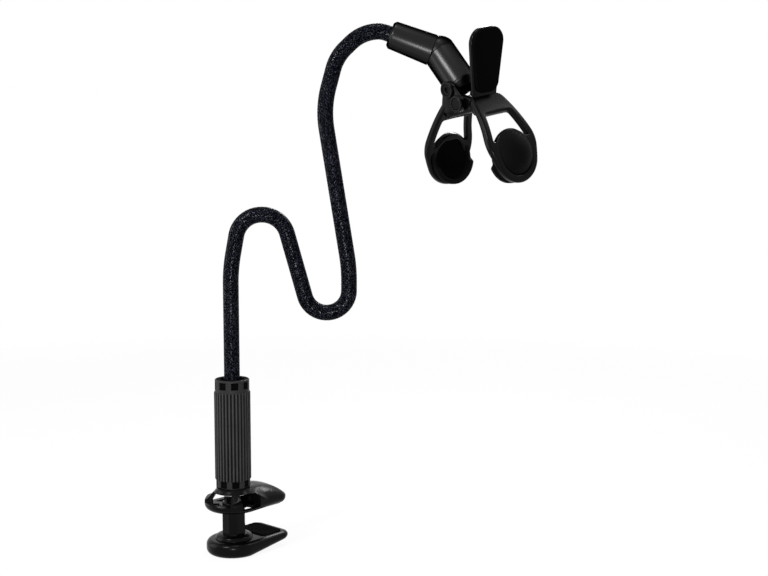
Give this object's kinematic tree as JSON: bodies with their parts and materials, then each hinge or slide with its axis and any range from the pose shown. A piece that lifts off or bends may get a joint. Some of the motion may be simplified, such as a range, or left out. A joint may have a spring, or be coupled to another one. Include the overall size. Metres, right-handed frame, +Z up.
{
  "type": "phone gooseneck holder",
  "caption": "Table-clamp phone holder: ribbed screw handle, bent braided gooseneck, ball joint and a sprung wishbone clip with round cups and a finger paddle.",
  "frame": {"origin": "centre of the lower jaw's gripping face", "axes": "+Z up along the post, +X along the clamp jaws towards their tips"},
  "size_m": [0.1971, 0.2585, 0.4844],
  "materials": {
    "gloss_black": "glossy",
    "rubber_black": "matte",
    "grip_grey": "matte",
    "satin_black": "satin anodised",
    "steel": "brushed",
    "brass": "turned",
    "core_metal": "drawn",
    "braid": "braided"
  },
  "bodies": {
    "base": {"foot_plate": "gloss_black", "foot_pad": "rubber_black", "post": "satin_black", "post_screw": "steel", "lead_screw": "steel", "neck_crimp": "satin_black", "neck_core": "core_metal", "neck_sleeve": "braid", "head_ferrule": "satin_black"},
    "clamp_jaw": {"upper_jaw": "gloss_black", "upper_jaw_pad": "rubber_black", "thrust_washer": "steel"},
    "handle": {"handle_nut": "brass", "handle_ring": "steel", "handle_grip": "grip_grey", "handle_bottom_collar": "grip_grey", "handle_top_collar": "grip_grey"},
    "ball_stud": {"ball_stud": "steel", "stud_clip": "steel"},
    "ball_seat": {"ball_seat": "grip_grey", "seat_ring": "satin_black"},
    "holder": {"socket_tube": "satin_black", "seat_spring": "steel", "fixed_jaw": "gloss_black", "fixed_jaw_pad": "rubber_black", "cross_bolt": "steel", "cross_nut": "steel", "pivot_pin": "steel", "pin_clip": "steel", "clip_spring": "steel"},
    "moving_jaw": {"moving_jaw": "gloss_black", "moving_jaw_pad": "rubber_black", "paddle_pad": "rubber_black"}
  },
  "joints": [
    {"name": "clamp_slide", "type": "slide", "parent": "base", "child": "clamp_jaw", "axis": [0, 0, 1], "range_m": [-0.02505, 0.00005]},
    {"name": "handle_turn", "type": "hinge", "parent": "clamp_jaw", "child": "handle", "pos_m": [-0.032, 0, 0.1], "axis": [0, 0, 1], "range_deg": [-2250, 0]},
    {"name": "stud_turn", "type": "hinge", "parent": "base", "child": "ball_stud", "pos_m": [0.09455, -0.14055, 0.44238], "axis": [0.6272, -0.6965, -0.3486], "continuous": true},
    {"name": "head_tilt", "type": "hinge", "parent": "ball_stud", "child": "ball_seat", "pos_m": [0.09455, -0.14055, 0.44238], "axis": [0.4731, 0.6962, -0.5399], "range_deg": [-58, 3]},
    {"name": "head_turn", "type": "hinge", "parent": "ball_seat", "child": "holder", "pos_m": [0.09455, -0.14055, 0.44238], "axis": [0.0453, -0.6312, -0.7743], "continuous": true},
    {"name": "clip_open", "type": "hinge", "parent": "holder", "child": "moving_jaw", "pos_m": [0.09706, -0.17558, 0.39941], "axis": [-0.9697, 0.1586, -0.186], "range_deg": [-42, 26], "stiffness_Nm_per_rad": 0.3, "springref_deg": -75, "deforming": ["clip_spring"]}
  ],
  "couplings": [
    {"joint": "clamp_slide", "follows": "handle_turn", "m_per_rad": 0.00063662}
  ]
}
